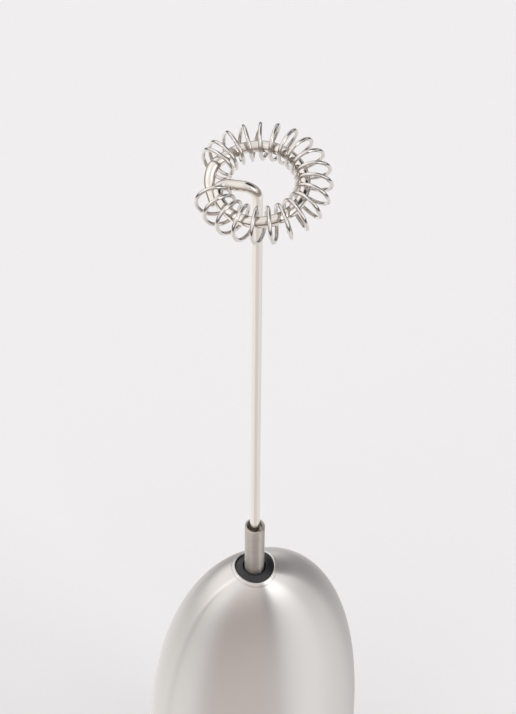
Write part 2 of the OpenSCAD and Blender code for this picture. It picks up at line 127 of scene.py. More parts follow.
def noise(tree, vector, detail=3.0):
    return node(tree, "ShaderNodeTexNoise", None, Vector=vector, Scale=1.0, Detail=detail,
                Roughness=0.55).outputs["Fac"]


def mixed(tree, factor, a, b):
    made = tree.nodes.new("ShaderNodeMix")
    made.data_type = "RGBA"
    for name, value in (("Factor", factor), ("A", a), ("B", b)):
        kind = "VALUE" if name == "Factor" else "RGBA"
        socket = next(s for s in made.inputs if s.name == name and s.type == kind)
        if isinstance(value, bpy.types.NodeSocket):
            tree.links.new(value, socket)
        else:
            socket.default_value = value
    return next(s for s in made.outputs if s.type == "RGBA")


def rgba(color, factor=1.0):
    return (*(min(1.0, c * factor) for c in color), 1.0)


def finish(name, color, rough, metallic=0.0, grain=(900, 900, 900), tint=0.05, spread=0.05, bump=0.05,
           depth=2e-5, source="object", aniso=0.0, coat=0.0, scratches=0.0):
    """A procedural material. grain is how many noise cells there are per metre along each axis of the
    source coordinates; tint and spread are how much the colour and the roughness vary with it. depth
    is the height of the relief in metres, and scratches adds lines five times as fine along z."""
    made = bpy.data.materials.new(name)
    made.use_nodes = True
    tree = made.node_tree
    shader = tree.nodes["Principled BSDF"]
    if source == "object":
        where = node(tree, "ShaderNodeTexCoord").outputs["Object"]
    else:
        where = node(tree, "ShaderNodeAttribute", {"attribute_name": source}).outputs["Vector"]
    small = noise(tree, scaled(tree, where, grain))
    large = noise(tree, scaled(tree, where, tuple(g * 0.11 for g in grain)), detail=2.0)
    both = maths(tree, "MULTIPLY_ADD", small, 0.6, maths(tree, "MULTIPLY", large, 0.4))
    share = smooth_span(tree, both, 0.3, 0.7)
    base = mixed(tree, share, rgba(color, 1 - tint), rgba(color, 1 + tint))
    tree.links.new(base, shader.inputs["Base Color"])
    roughness = smooth_span(tree, both, 0.3, 0.7, max(0.02, rough - spread), rough + spread)
    tree.links.new(roughness, shader.inputs["Roughness"])
    height = maths(tree, "MULTIPLY_ADD", small, 1.0, maths(tree, "MULTIPLY", large, 0.3))
    if scratches:
        finer = (grain[0] * 0.5, grain[1] * 0.5, grain[2] * 5.0)
        lines = noise(tree, scaled(tree, where, finer), detail=1.0)
        height = maths(tree, "MULTIPLY_ADD", lines, scratches, height)
    relief = node(tree, "ShaderNodeBump", None, Strength=bump, Distance=depth, Height=height)
    tree.links.new(relief.outputs[0], shader.inputs["Normal"])
    shader.inputs["Metallic"].default_value = metallic
    shader.inputs["Anisotropic"].default_value = aniso
    shader.inputs["Coat Weight"].default_value = coat
    shader.inputs["Coat Roughness"].default_value = 0.08
    if aniso:
        tangent = node(tree, "ShaderNodeTangent", {"direction_type": "UV_MAP", "uv_map": "flow"})
        tree.links.new(tangent.outputs[0], shader.inputs["Tangent"])
        shader.inputs["Anisotropic Rotation"].default_value = 0.25     # highlights stretch along v
    return made


# ------------------------------------------------------------ materials

STEEL = (0.74, 0.715, 0.695)
MATERIALS = {
    "shell_steel": dict(color=STEEL, rough=0.35, metallic=1.0, grain=(60, 60, 1700), source="flow_at",
                        tint=0.2, spread=0.1, bump=0.16, depth=1e-5, aniso=0.95, scratches=0.4),
    "sleeve_steel": dict(color=(0.54, 0.495, 0.46), rough=0.40, metallic=1.0, grain=(120, 120, 2600),
                         source="flow_at", tint=0.13, spread=0.08, bump=0.22, depth=1.5e-5, aniso=0.9),
    "wire_steel": dict(color=(0.72, 0.68, 0.635), rough=0.13, metallic=1.0, grain=(3500, 3500, 90),
                       source="flow_at", tint=0.03, spread=0.04, bump=0.05, depth=6e-6),
    "coil_steel": dict(color=(0.65, 0.62, 0.595), rough=0.10, metallic=1.0, grain=(4000, 4000, 120),
                       source="flow_at", tint=0.03, spread=0.04, bump=0.04, depth=4e-6),
    "black_plastic": dict(color=(0.014, 0.014, 0.017), rough=0.34, grain=(5200,) * 3, tint=0.18, bump=0.22),
    "button_plastic": dict(color=(0.022, 0.022, 0.024), rough=0.36, grain=(6500,) * 3, tint=0.15, bump=0.18),
    "chassis_plastic": dict(color=(0.13, 0.14, 0.155), rough=0.5, grain=(4200,) * 3, tint=0.1, bump=0.15),
    "fastener_steel": dict(color=(0.62, 0.61, 0.60), rough=0.28, metallic=1.0, grain=(3000,) * 3, bump=0.1),
    "plated_steel": dict(color=(0.64, 0.64, 0.65), rough=0.30, metallic=1.0,
                         grain=(700, 700, 4200), bump=0.08),
    "nylon": dict(color=(0.80, 0.79, 0.74), rough=0.45, grain=(3600,) * 3, tint=0.04, bump=0.1),
    "bronze": dict(color=(0.56, 0.40, 0.22), rough=0.44, metallic=1.0,
                   grain=(9000,) * 3, tint=0.2, bump=0.35),
    "ferrite": dict(color=(0.10, 0.10, 0.11), rough=0.62, grain=(8000,) * 3, tint=0.2, bump=0.3),
    "carbon": dict(color=(0.05, 0.05, 0.05), rough=0.55, grain=(9000,) * 3, tint=0.25, bump=0.3),
    "contact_metal": dict(color=(0.80, 0.68, 0.43), rough=0.26, metallic=1.0,
                          grain=(5200, 500, 500), bump=0.06),
    "shaft_steel": dict(color=(0.72, 0.72, 0.72), rough=0.18, metallic=1.0,
                        grain=(600, 600, 6000), bump=0.06),
    "core_steel": dict(color=(0.34, 0.35, 0.37), rough=0.42, metallic=1.0, grain=(300, 300, 12000),
                       tint=0.25, spread=0.1, bump=0.5, depth=5e-5),
    "copper": dict(color=(0.70, 0.33, 0.15), rough=0.30, metallic=1.0, grain=(500, 500, 9000), tint=0.18,
                   bump=0.5, depth=6e-5, coat=0.4),
    "spring_steel": dict(color=(0.70, 0.70, 0.70), rough=0.20, metallic=1.0, grain=(3000,) * 3, bump=0.05),
    "cell_jacket": dict(color=(0.15, 0.20, 0.27), rough=0.26,
                        grain=(1500,) * 3, tint=0.08, bump=0.05, coat=0.5),
    "cell_steel": dict(color=(0.68, 0.67, 0.64), rough=0.25, metallic=1.0, grain=(3500,) * 3, bump=0.06),
    "red_insulation": dict(color=(0.50, 0.035, 0.03), rough=0.4, grain=(4000,) * 3, tint=0.1, bump=0.08),
    "black_insulation": dict(color=(0.022, 0.022, 0.022), rough=0.4, grain=(4000,) * 3, tint=0.2, bump=0.08),
    "grey_rubber": dict(color=(0.085, 0.085, 0.09), rough=0.78, grain=(7000,) * 3, tint=0.2, bump=0.4),
}
materials = {name: finish(name, **settings) for name, settings in MATERIALS.items()}

# ------------------------------------------------------------ mesh helpers


def angles(count):
    return np.linspace(0, 2 * math.pi, count, endpoint=False)


def smoothed(corners, steps=5, closed=False):
    """A line through (x, z, radius) corners, each rounded with an arc of its radius."""
    points, count = [], len(corners)
    for i, (x, z, radius) in enumerate(corners):
        here = np.array([x, z], float)
        if radius <= 0 or (not closed and i in (0, count - 1)):
            points.append(here)
            continue
        back = np.array(corners[i - 1][:2], float) - here
        ahead = np.array(corners[(i + 1) % count][:2], float) - here
        back_len, ahead_len = np.linalg.norm(back), np.linalg.norm(ahead)
        back, ahead = back / back_len, ahead / ahead_len
        half = math.acos(max(-1, min(1, float(back @ ahead)))) / 2
        reach = min(radius / math.tan(half), back_len * 0.49, ahead_len * 0.49)
        radius = reach * math.tan(half)
        middle = back + ahead
        centre = here + middle / np.linalg.norm(middle) * radius / math.sin(half)
        first, last = here + back * reach - centre, here + ahead * reach - centre
        sweep = math.acos(max(-1, min(1, float(first @ last) / radius ** 2)))
        for k in range(steps + 1):
            t = k / steps
            points.append(centre + (math.sin((1 - t) * sweep) * first + math.sin(t * sweep) * last)
                          / math.sin(sweep))
    return np.array(points)


def loft(rings, closed=False, cap_low=False, cap_high=False):
    """Vertices and faces of a skin over rings of equal count. closed joins the last ring to the first."""
    rings = [np.asarray(r, float) for r in rings]
    count, around = len(rings), len(rings[0])
    verts = list(np.concatenate(rings))
    faces = []
    for i in range(count if closed else count - 1):
        a, b = i * around, ((i + 1) % count) * around
        for k in range(around):
            m = (k + 1) % around
            faces.append((a + k, a + m, b + m, b + k))
    for wanted, ring, flip in ((cap_low, 0, True), (cap_high, count - 1, False)):
        if wanted:
            centre = len(verts)
            verts.append(rings[ring].mean(0))
            base = ring * around
            for k in range(around):
                m = (k + 1) % around
                faces.append((base + m, base + k, centre) if flip else (base + k, base + m, centre))
    return np.array(verts), faces


def turned(profile, around=96, closed=False, low=False, high=False):
    """A circular lathe of (radius, z) points about Z."""
    a = angles(around)
    rings = [np.column_stack([r * np.cos(a), r * np.sin(a), np.full(around, z)]) for r, z in profile]
    return loft(rings, closed, low, high)


def oval(profile, around=256):
    """The same with an oval plan and both ends capped: each point is (inset from the outer wall, z)."""
    a = angles(around)
    rings = [np.column_stack([(HALF_W - i) * np.cos(a), (HALF_D - i) * np.sin(a), np.full(around, z)])
             for i, z in profile]
    return loft(rings, cap_low=True, cap_high=True)


def along_y(shape, z=0.0):
    """Turns a lathe about Z into one about Y: its z becomes y."""
    verts, faces = shape
    x, y, h = verts.T
    return np.column_stack([x, h, z - y]), faces


def sides_along(points, first):
    """Tangents and a twist-free side direction along a path."""
    points = np.asarray(points, float)
    tangents = np.empty_like(points)
    tangents[1:-1] = points[2:] - points[:-2]
    tangents[0], tangents[-1] = points[1] - points[0], points[-1] - points[-2]
    tangents /= np.linalg.norm(tangents, axis=1)[:, None]
    sides = np.empty_like(points)
    side = np.asarray(first, float)
    for i, t in enumerate(tangents):
        side = side - (side @ t) * t
        side /= np.linalg.norm(side)
        sides[i] = side
    return tangents, sides


def swept(points, radius, around, first, end_round=0.5):
    """A round wire along a path, its two cut ends slightly rounded."""
    points = np.asarray(points, float)
    tangents, sides = sides_along(points, first)
    ups = np.cross(tangents, sides)
    a = angles(around)
    circle = radius * (np.cos(a)[None, :, None] * sides[:, None] + np.sin(a)[None, :, None] * ups[:, None])
    edge = radius * end_round
    rings = []
    steps = [math.radians(d) for d in (0, 25, 50, 72, 90)]
    for s in steps:  # the start, from its flat face out to the full radius
        share = (radius - edge + edge * math.sin(s)) / radius
        rings.append(points[0] + tangents[0] * edge * (1 - math.cos(s)) + circle[0] * share)
    start_gap = np.linalg.norm(points - points[0], axis=1)
    end_gap = np.linalg.norm(points - points[-1], axis=1)
    for i in range(1, len(points) - 1):
        if start_gap[i] > edge * 1.2 and end_gap[i] > edge * 1.2:
            rings.append(points[i] + circle[i])
    for s in reversed(steps):
        share = (radius - edge + edge * math.sin(s)) / radius
        rings.append(points[-1] - tangents[-1] * edge * (1 - math.cos(s)) + circle[-1] * share)
    return loft(rings, cap_low=True, cap_high=True)


def curve_through(points, per_span=8):
    """A smooth line through the points (Catmull-Rom)."""
    p = np.asarray(points, float)
    p = np.concatenate([[2 * p[0] - p[1]], p, [2 * p[-1] - p[-2]]])
    out = []
    for i in range(1, len(p) - 2):
        for k in range(per_span):
            t = k / per_span
            out.append(0.5 * (2 * p[i] + (p[i + 1] - p[i - 1]) * t
                              + (2 * p[i - 1] - 5 * p[i] + 4 * p[i + 1] - p[i + 2]) * t ** 2
                              + (3 * p[i] - p[i - 1] - 3 * p[i + 1] + p[i + 2]) * t ** 3))
    out.append(p[-2])
    return np.array(out)


def add_piece(name, shape, material, body, replaced, sharp=40.0, flow=None, uv=None, cut=None):
    """Makes the object in metres, rides it on its body and hides the CAD nodes that it stands for."""
    verts, faces = shape
    mesh = bpy.data.meshes.new(name)
    mesh.from_pydata((np.asarray(verts) * MM).tolist(), [], faces)
    if uv is not None:
        layer = mesh.uv_layers.new(name="flow")
        corners = np.empty(len(mesh.loops), np.int32)
        mesh.loops.foreach_get("vertex_index", corners)
        values = uv(mesh, corners)
        layer.data.foreach_set("uv", values.astype(np.float32).ravel())
    if flow is not None:
        store = mesh.attributes.new("flow_at", "FLOAT_VECTOR", "POINT")
        store.data.foreach_set("vector", (np.asarray(flow) * MM).astype(np.float32).ravel())
    mesh.materials.append(materials[material])
    piece = bpy.data.objects.new(name, mesh)
    bpy.context.scene.collection.objects.link(piece)
    if cut is not None:
        piece.data = cut(piece)
        piece.data.name = name
        bpy.data.meshes.remove(mesh)
        mesh = piece.data
    mesh.shade_smooth()
    mesh.set_sharp_from_angle(angle=math.radians(sharp))
    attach(piece, body)
    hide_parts(*replaced)
    return piece


def grid_flow(shape, around, rows, lengths):
    """Coordinates for the grain of a lathe: x and y as they are, z along the profile."""
    verts = np.asarray(shape[0])
    flow = verts.copy()
    flow[:around * rows, 2] = np.repeat(lengths, around)
    flow[around * rows:, 2] = lengths[-1]
    return flow


def path_lengths(profile):
    steps = np.linalg.norm(np.diff(np.asarray(profile, float), axis=0), axis=1)
    return np.concatenate([[0], np.cumsum(steps)])


def grid_uv(around, rows):
    """UVs of a lathe's grid, u around and v along, with u kept whole across the seam."""
    def values(mesh, corners):
        u = (corners % around) / around
        v = (corners // around) / rows
        starts = np.empty(len(mesh.polygons), np.int32)
        totals = np.empty(len(mesh.polygons), np.int32)
        mesh.polygons.foreach_get("loop_start", starts)
        mesh.polygons.foreach_get("loop_total", totals)
        face_of = np.repeat(np.arange(len(starts)), totals)
        highest = np.zeros(len(starts))
        np.maximum.at(highest, face_of, u)
        wraps = (highest[face_of] - u) > 0.5
        u = np.where(wraps, u + 1, u)
        face_v = np.zeros(len(starts))
        np.maximum.at(face_v, face_of, v)
        v = np.where((face_v[face_of] - v) > 0.5, v + 1, v)
        return np.column_stack([u, v])
    return values


# ------------------------------------------------------------ handle

BEAD_R, BEAD_H = 4.75, 0.2    # outer radius and height of the rolled rim round the hole in the nose


def plan_radius(angle, inset):
    """Distance of the oval wall from the axis, in the direction angle."""
    a, b = HALF_W - inset, HALF_D - inset
    return 1 / np.sqrt((np.cos(angle) / a) ** 2 + (np.sin(angle) / b) ** 2)


def dome_z(radius, wall, inset):
    share = np.clip(radius / wall, 0, 1)
    return APEX_Z - inset - DOME_H + DOME_H * (1 - share ** DOME_POWER) ** (1 / DOME_POWER)


def dome_rows(angle, inset, low_z, hole, rows, wall_rows):
    """(radius, z) grids from low_z up the wall and over the dome to the radius hole, evenly spaced."""
    wall = plan_radius(angle, inset)
    spring_z = APEX_Z - inset - DOME_H
    turn = np.linspace(0, math.pi / 2, 1500)
    share = np.cos(turn) ** (2 / DOME_POWER)
    rise = spring_z + DOME_H * np.sin(turn) ** (2 / DOME_POWER)
    radii, heights = np.empty((rows, len(angle))), np.empty((rows, len(angle)))
    for k, w in enumerate(wall):
        r = w * share
        keep = r >= hole
        r, z = np.append(r[keep], hole), np.append(rise[keep], dome_z(hole, w, inset))
        length = path_lengths(np.column_stack([r, z]))
        want = np.linspace(0, length[-1], rows)
        radii[:, k], heights[:, k] = np.interp(want, length, r), np.interp(want, length, z)
    walls = np.linspace(low_z, spring_z, wall_rows, endpoint=False)
    radii = np.concatenate([np.tile(wall, (wall_rows, 1)), radii])
    heights = np.concatenate([np.tile(walls[:, None], (1, len(angle))), heights])
    return radii, heights


def shell_shape(around=288):
    angle = angles(around)
    outer, inner = plan_radius(angle, 0), plan_radius(angle, SHELL_T)
    edge = 0.2
    rings = []

    def ring(radius, z):
        radius, z = np.broadcast_to(radius, (around,)), np.broadcast_to(z, (around,))
        rings.append(np.column_stack([radius * np.cos(angle), radius * np.sin(angle), z]))

    for s in np.radians([0, 22, 45, 68]):
        ring(outer - edge + edge * np.sin(s), SHELL_LOW + edge - edge * np.cos(s))
    radii, heights = dome_rows(angle, 0, SHELL_LOW + edge, BEAD_R, 110, 14)
    for r, z in zip(radii, heights):
        ring(r, z)
    bead = BEAD_R - HOLE_R
    for s in np.linspace(0, math.pi, 15)[1:]:
        r = BEAD_R - bead * (1 - math.cos(s)) / 2
        ring(r, dome_z(r, outer, 0) + BEAD_H * math.sin(s) ** 0.7)
    low = dome_z(HOLE_R, inner, SHELL_T)
    for t in (0.4, 0.8):
        ring(HOLE_R, dome_z(HOLE_R, outer, 0) * (1 - t) + low * t)
    radii, heights = dome_rows(angle, SHELL_T, SHELL_LOW + edge, HOLE_R, 44, 8)
    for r, z in zip(radii[::-1], heights[::-1]):
        ring(r, z)
    for s in np.radians([68, 45, 22, 0]):
        ring(inner + edge - edge * np.sin(s), SHELL_LOW + edge - edge * np.cos(s))
    return loft(rings[::-1], closed=True), rings[::-1]


def bore_for_button(piece):
    """The shell's mesh with the round hole for the bezel cut through its front wall."""
    rod = along_y(turned([(BEZEL_TUBE_R + 0.1, -HALF_D - 3), (BEZEL_TUBE_R + 0.1, -HALF_D / 2)], 128,
                         low=True, high=True), BUTTON_Z)
    mesh = bpy.data.meshes.new("cutter")
    mesh.from_pydata((rod[0] * MM).tolist(), [], rod[1])
    cutter = bpy.data.objects.new("cutter", mesh)
    bpy.context.scene.collection.objects.link(cutter)
    change = piece.modifiers.new("hole", "BOOLEAN")
    change.operation, change.solver, change.object = "DIFFERENCE", "EXACT", cutter
    bpy.context.view_layer.update()
    result = bpy.data.meshes.new_from_object(piece.evaluated_get(bpy.context.evaluated_depsgraph_get()))
    piece.modifiers.remove(change)
    bpy.data.objects.remove(cutter)
    bpy.data.meshes.remove(mesh)
    return result


def front_wall_y(x, z):
    """y of the shell's outer surface on the button's side."""
    rise = max(0.0, z - (APEX_Z - DOME_H)) / DOME_H
    share = (1 - rise ** DOME_POWER) ** (1 / DOME_POWER)
    return -HALF_D * share * math.sqrt(1 - (x / (HALF_W * share)) ** 2)


def bezel_shape(around=128):
    """A round frame whose lip lies on the shell's curved front."""
    a = angles(around)
    rings = []

    def ring(radius, y):
        y = np.broadcast_to(y, (around,))
        rings.append(np.column_stack([radius * np.cos(a), y, BUTTON_Z + radius * np.sin(a)]))

    def wall(radius):
        return np.array([front_wall_y(radius * math.cos(t), BUTTON_Z + radius * math.sin(t)) for t in a])

    ring(BEZEL_TUBE_R, BEZEL_BACK)
    ring(BEZEL_TUBE_R, wall(BEZEL_TUBE_R) + 0.02)
    ring(BEZEL_R - 0.02, wall(BEZEL_R) - 0.01)
    lip = smoothed([(BEZEL_R, -14.2, 0), (BEZEL_R, BEZEL_FACE, 0.3), (BEZEL_IN_R, BEZEL_FACE, 0.25),
                    (BEZEL_IN_R, BEZEL_BACK, 0.1), (BEZEL_TUBE_R, BEZEL_BACK, 0)], 5)
    for r, y in lip[1:-1]:
        ring(r, y)
    return loft(rings, closed=True)


def button_shape():
    centre = BUTTON_FACE - BUTTON_DISH_R + BUTTON_DISH
    dish = [(r, centre + math.sqrt(BUTTON_DISH_R ** 2 - r ** 2))
            for r in np.linspace(0.3, BUTTON_R - 0.4, 14)]
    edge_y = centre + math.sqrt(BUTTON_DISH_R ** 2 - BUTTON_R ** 2)
    rest = smoothed([(*dish[-1], 0), (BUTTON_R, edge_y, 0.25), (BUTTON_R, FLANGE_FRONT, 0.1),
                     (FLANGE_R, FLANGE_FRONT, 0.15), (FLANGE_R, FLANGE_FRONT + FLANGE_T, 0.15),
                     (STEM_R, FLANGE_FRONT + FLANGE_T, 0.2), (STEM_R, STEM_END, 0.1),
                     (STEM_TIP_R, STEM_END, 0.05), (STEM_TIP_R, STEM_END + STEM_TIP, 0.1),
                     (0.3, STEM_END + STEM_TIP, 0)], 5)
    profile = np.concatenate([dish, rest[1:]])
    return along_y(turned(profile, 128, low=True, high=True), BUTTON_Z)


def collar_shape(around=128):
    """The black bush in the nose: its top follows the dome just below the steel rim."""
    angle = angles(around)
    wall = plan_radius(angle, COLLAR_INSET)
    out_r = HOLE_R - COLLAR_SIDE_GAP
    rings = []

    def ring(radius, z):
        z = np.broadcast_to(z, (around,))
        rings.append(np.column_stack([radius * np.cos(angle), radius * np.sin(angle), z]))

    ring(COLLAR_HOLE_R, COLLAR_LOW)
    ring(COLLAR_FLANGE_R, COLLAR_LOW)
    ring(COLLAR_FLANGE_R, COLLAR_LOW + COLLAR_FLANGE_T)
    ring(out_r, COLLAR_LOW + COLLAR_FLANGE_T)
    top = dome_z(out_r, wall, COLLAR_INSET)
    ring(out_r, top - 0.15)
    ring(out_r - 0.05, top - 0.04)
    for r in np.linspace(out_r - 0.14, COLLAR_HOLE_R + 0.2, 10):
        ring(r, dome_z(r, wall, COLLAR_INSET))
    lip = dome_z(COLLAR_HOLE_R + 0.1, wall, COLLAR_INSET)
    ring(COLLAR_HOLE_R + 0.07, lip - 0.04)
    ring(COLLAR_HOLE_R, lip - 0.18)
    return loft(rings, closed=True)


shell, shell_rings = shell_shape()
SHELL_AROUND = len(shell_rings[0])
shell_line = np.array([r[SHELL_AROUND // 8] for r in shell_rings])
add_piece("steel_shell", shell, "shell_steel", "handle", ["outer_shell"], sharp=38,
          flow=grid_flow(shell, SHELL_AROUND, len(shell_rings), path_lengths(shell_line)),
          uv=grid_uv(SHELL_AROUND, len(shell_rings)), cut=bore_for_button)
add_piece("nose_bush", collar_shape(), "black_plastic", "handle", ["nose_collar"])
add_piece("button_frame", bezel_shape(), "black_plastic", "handle", ["button_bezel"], 50)
add_piece("button_cap", button_shape(), "button_plastic", "button", ["push_button"], 50)

# ------------------------------------------------------------ base

CORE_INSET = 9.0     # the ovals are closed by a cap this far inside the wall
cover = smoothed([(PAD_RECESS + CORE_INSET, PAD_T, 0), (PAD_RECESS, PAD_T, 0.05),
                  (PAD_RECESS, COVER_LOW, 0.15), (-COVER_PROUD, COVER_LOW, 0.55),
                  (-COVER_PROUD, SHELL_LOW, 0.22), (INNER_INSET, SHELL_LOW, 0.1),
                  (INNER_INSET, SKIRT_TOP, 0.3), (INNER_INSET + SKIRT_T, SKIRT_TOP, 0.3),
                  (INNER_INSET + SKIRT_T, COVER_FLOOR, 0.5), (PAD_RECESS + CORE_INSET, COVER_FLOOR, 0)], 5)
add_piece("end_cap", oval(cover), "black_plastic", "base", ["base_cover"])
pad = smoothed([(PAD_INSET + CORE_INSET, 0, 0), (PAD_INSET, 0, 0.25), (PAD_INSET, PAD_T, 0.05),
                (PAD_INSET + CORE_INSET, PAD_T, 0)], 5)
add_piece("foot_sole", oval(pad), "grey_rubber", "base", ["foot_pad"])

# ------------------------------------------------------------ whisk


def deg_cos(a):
    return math.cos(math.radians(a))


def deg_sin(a):
    return math.sin(math.radians(a))


def in_ring(x, y, z=0.0):
    """A point of the ring's own plane, x along the arm and 0 at the ring's centre, as a point of the part."""
    off = y - RING_OFF
    ty = off * deg_cos(RING_TILT) + z * deg_sin(RING_TILT)
    tz = z * deg_cos(RING_TILT) - off * deg_sin(RING_TILT)
    c, s = deg_cos(ARM_HEADING), deg_sin(ARM_HEADING)
    return np.array([x * c - ty * s, x * s + ty * c, RING_Z + tz])


def eased(t):
    t = min(1.0, max(0.0, t))
    return t * t * (3 - 2 * t)


def ring_arc(centre, bend, start, end, step=2.0):
    count = max(4, int(abs(end - start) / step))
    return [in_ring(centre[0] + bend * deg_cos(a), centre[1] + bend * deg_sin(a))
            for a in np.linspace(start, end, count + 1)[1:]]


def ring_and_tail():
    """The ring, which widens a little and sinks at its end, below its own start."""
    line = []
    for a in np.linspace(START_END, TAIL_END, 141)[1:]:
        near = (a - SWELL_AT) / SWELL_HALF
        r = RING_R + (SWELL * deg_cos(90 * near) ** 2 if abs(near) < 1 else 0)
        low = TAIL_DROP * eased((a - DROP_FROM) / (DROP_TO - DROP_FROM))
        line.append(in_ring(r * deg_cos(a), r * deg_sin(a), -low))
    return line


def whisk_line():
    """The mast, its bend, the arm, the hook and the ring, whose tail passes below its start."""
    start_c = (RING_R - START_R) * np.array([deg_cos(START_END), deg_sin(START_END)])
    hook_y = RING_OFF + HOOK_R
    hook_c = np.array([start_c[0] + math.sqrt((START_R - HOOK_R) ** 2 - (hook_y - start_c[1]) ** 2), hook_y])
    hook_end = math.degrees(math.atan2(hook_c[1] - start_c[1], hook_c[0] - start_c[0]))
    c, s = deg_cos(ARM_HEADING), deg_sin(ARM_HEADING)
    line = [np.array([0, 0, z]) for z in np.linspace(MAST_LOW, RING_Z - BEND_R, 60, endpoint=False)]
    for a in np.linspace(0, 90, 31):
        out = BEND_R * (1 - deg_cos(a))
        line.append(np.array([out * c, out * s, RING_Z - BEND_R + BEND_R * deg_sin(a)]))
    line += [in_ring(x, RING_OFF) for x in np.linspace(BEND_R, hook_c[0], 6)[1:]]
    line += ring_arc(hook_c, HOOK_R, -90, hook_end, 4)
    line += ring_arc(start_c, START_R, hook_end, START_END)
    return np.array(line + ring_and_tail()), np.array([c, s, 0])


def coil_line(per_loop=44):
    """The loose spring on the ring: each loop crosses the ring above it and moves on below it."""
    pitch = (COIL_TO - COIL_FROM) / (COIL_LOOPS - 1.35)
    shift = COIL_SHIFT * np.array([deg_cos(COIL_SHIFT_HEADING), deg_sin(COIL_SHIFT_HEADING)])
    line = []
    for i in range(COIL_LOOPS * per_loop + 1):
        t = i / per_loop
        even = min(t, COIL_LOOPS - 1.4)
        turn = 180 - 360 * t
        along = pitch * even + COIL_END_PITCH * (t - even)
        a = COIL_FROM + along - pitch / 4 * deg_cos(turn)
        out = COIL_CENTRE_R + COIL_R * deg_cos(turn)
        low = COIL_DROP * eased(1 - along / COIL_DROP_SPAN)
        x, y = out * deg_cos(a) + shift[0], out * deg_sin(a) + shift[1]
        line.append(in_ring(x, y, COIL_R * deg_sin(turn) - low))
    return np.array(line)


def wire_flow(shape, around):
    """Grain coordinates of a wire: around it in x and y, along it in z."""
    verts = np.asarray(shape[0])
    rows = (len(verts) - 2) // around
    grid = verts[:rows * around].reshape(rows, around, 3)
    length = np.concatenate([[0], np.cumsum(np.linalg.norm(np.diff(grid.mean(1), axis=0), axis=1))])
    radius = np.linalg.norm(grid[rows // 2] - grid[rows // 2].mean(0), axis=1).mean()
    a = angles(around)
    flow = np.zeros_like(verts)
    flow[:rows * around, 0] = np.tile(radius * np.cos(a), rows)
    flow[:rows * around, 1] = np.tile(radius * np.sin(a), rows)
    flow[:rows * around, 2] = np.repeat(length, around)
    return flow


mast_line, mast_side = whisk_line()
mast = swept(mast_line, WIRE_R, 32, mast_side, 0.25)
add_piece("whisk_frame", mast, "wire_steel", "whisk", ["whisk_wire"], 50, wire_flow(mast, 32))
coil = swept(coil_line(), COIL_WIRE_R, 14, (0, 0, 1), 0.4)
add_piece("whisk_coil", coil, "coil_steel", "whisk", ["whisk_spring"], 50, wire_flow(coil, 14))

bore_r, seat_z = SHAFT_R + 0.02, SLEEVE_TOP - SLEEVE_MOUTH_DEPTH
sleeve_profile = smoothed([(bore_r, SLEEVE_LOW, 0.1), (SLEEVE_R, SLEEVE_LOW, 0.2),
                           (SLEEVE_R, SLEEVE_TOP, 0.16), (SLEEVE_MOUTH_R, SLEEVE_TOP, 0.1),
                           (SLEEVE_MOUTH_R, seat_z, 0.05), (bore_r, seat_z, 0.02)], 5, closed=True)
sleeve = turned(sleeve_profile, 96, closed=True)
add_piece("whisk_sleeve", sleeve, "sleeve_steel", "whisk", ["coupling_sleeve"], 50,
          sleeve[0], grid_uv(96, len(sleeve_profile)))

# ------------------------------------------------------------ what is inside


def spring_line(r0, r1, low, high, turns, wire, per_turn=40):
    t = np.linspace(0, 1, turns * per_turn + 1)
    a, r = 2 * math.pi * turns * t, r0 + (r1 - r0) * t
    return np.column_stack([r * np.cos(a), r * np.sin(a), low + wire + (high - low - 2 * wire) * t])


def moved(shape, x=0.0, y=0.0, z=0.0):
    return shape[0] + np.array([x, y, z]), shape[1]


def cell_shape(nub_up):
    can = CELL_LEN - CELL_NUB_H
    profile = smoothed([(1.2, 0.12, 0), (CELL_R - 1.6, 0.12, 0.1), (CELL_R - 1.2, 0, 0.1), (CELL_R, 0, 0.5),
                        (CELL_R, can, 0.7), (CELL_R - 1.3, can, 0.15), (CELL_R - 1.7, can - 0.25, 0.15),
                        (CELL_NUB_R, can - 0.25, 0.1), (CELL_NUB_R, CELL_LEN, 0.5), (0.8, CELL_LEN, 0)], 5)
    if not nub_up:
        profile = profile[::-1] * (1, -1) + (0, CELL_LEN)
    return turned(profile, 96, low=True, high=True)


for side, low, nub_up in (("left", CELL_LEFT_LOW, True), ("right", CELL_RIGHT_LOW, False)):
    x = -CELL_X if side == "left" else CELL_X
    cell = add_piece(f"cell_{side}_body", moved(cell_shape(nub_up), x, 0, low), "cell_jacket", "handle",
                     [f"cell_{side}"])
    cell.data.materials.append(materials["cell_steel"])
    for face in cell.data.polygons:
        middle = face.center / MM - Vector((x, 0, 0))
        face.material_index = int(math.hypot(middle.x, middle.y) < CELL_R - 0.35)

cell_spring = spring_line(SPRING_NARROW, SPRING_WIDE, CELL_RIGHT_LOW + CELL_LEN,
                          CELL_LEFT_LOW + CELL_LEN, SPRING_TURNS, CELL_SPRING_WIRE)
base_spring = spring_line(SPRING_WIDE, SPRING_NARROW, COVER_FLOOR + SHEET_T, CELL_LEFT_LOW,
                          SPRING_TURNS, BASE_SPRING_WIRE)
for name, line, wire, x, body, cad in (
        ("cell_spring", cell_spring, CELL_SPRING_WIRE, CELL_X, "handle", "negative_spring"),
        ("base_spring", base_spring, BASE_SPRING_WIRE, -CELL_X, "base", "bridge_spring")):
    coil_shape = moved(swept(line, wire, 12, (0, 0, 1)), x)
    add_piece(name, coil_shape, "spring_steel", body, [cad], 50)

